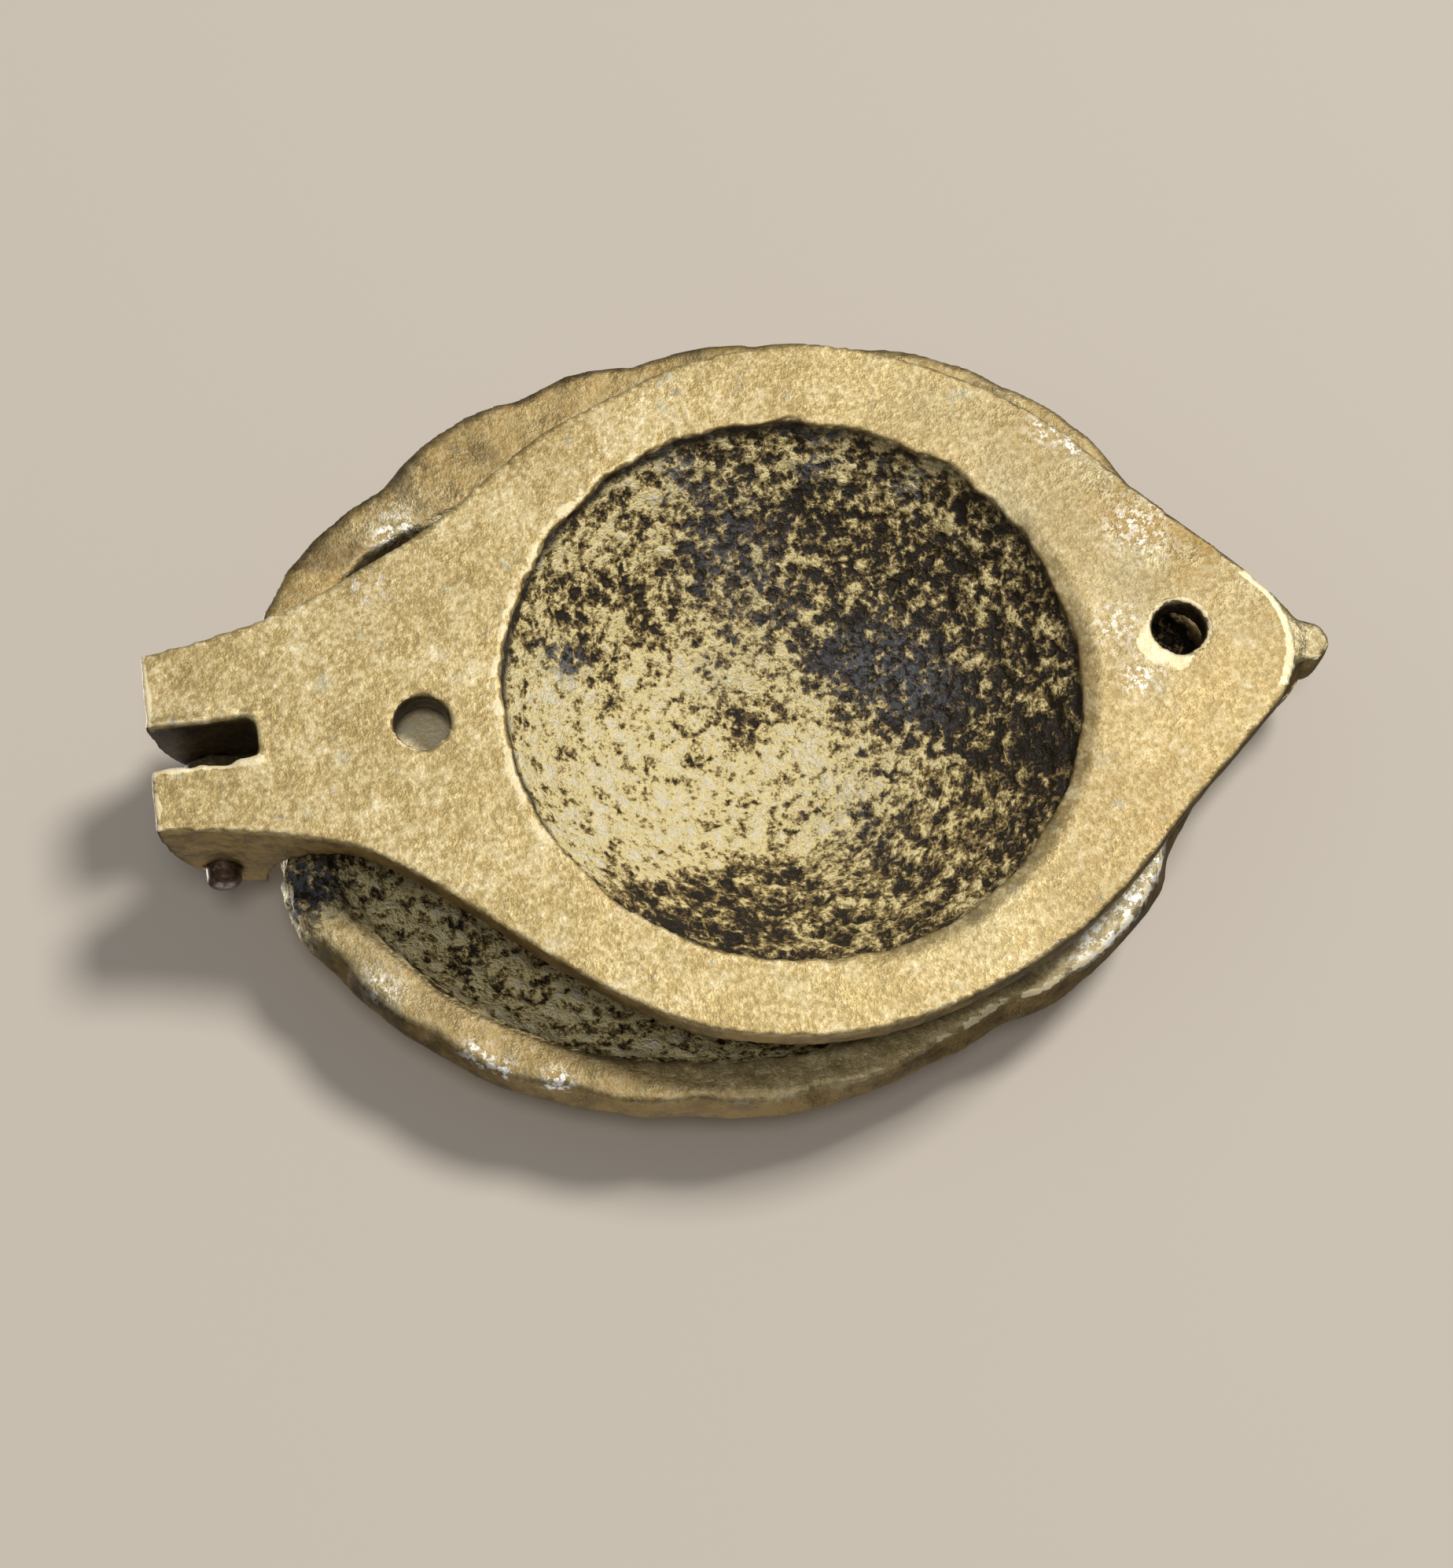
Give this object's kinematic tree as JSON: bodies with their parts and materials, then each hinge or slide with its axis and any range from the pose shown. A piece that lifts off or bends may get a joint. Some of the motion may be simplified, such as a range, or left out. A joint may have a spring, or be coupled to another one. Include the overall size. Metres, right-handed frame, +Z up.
{
  "type": "door knocker",
  "caption": "Cast brass door knocker: a flat back plate with a domed hollow and forked ears, and a hollow scalloped knocker that swings on a pin between the ears.",
  "frame": {"origin": "midway between the two screw holes, on the back plate's ground back face", "axes": "+Y out of the ground back face into the door, so the front relief faces -Y; +Z up towards the hinge; +X to the right seen from the front"},
  "size_m": [0.0726, 0.0204, 0.1044],
  "materials": {
    "plate_brass": "aged sand casting, back face ground flat, hollow left rough and dark",
    "knocker_brass": "aged sand casting, smooth rim, rough dark hollow",
    "pin_steel": "plain drawn rod, dulled brown"
  },
  "bodies": {
    "plate": {"back_plate": "plate_brass", "hinge_pin": "pin_steel"},
    "knocker": {"knocker": "knocker_brass"}
  },
  "joints": [
    {"name": "knocker_swing", "type": "hinge", "parent": "plate", "child": "knocker", "pos_m": [-0.00045, -0.0095, 0.0514], "axis": [-1, 0, 0], "range_deg": [0, 110]}
  ]
}
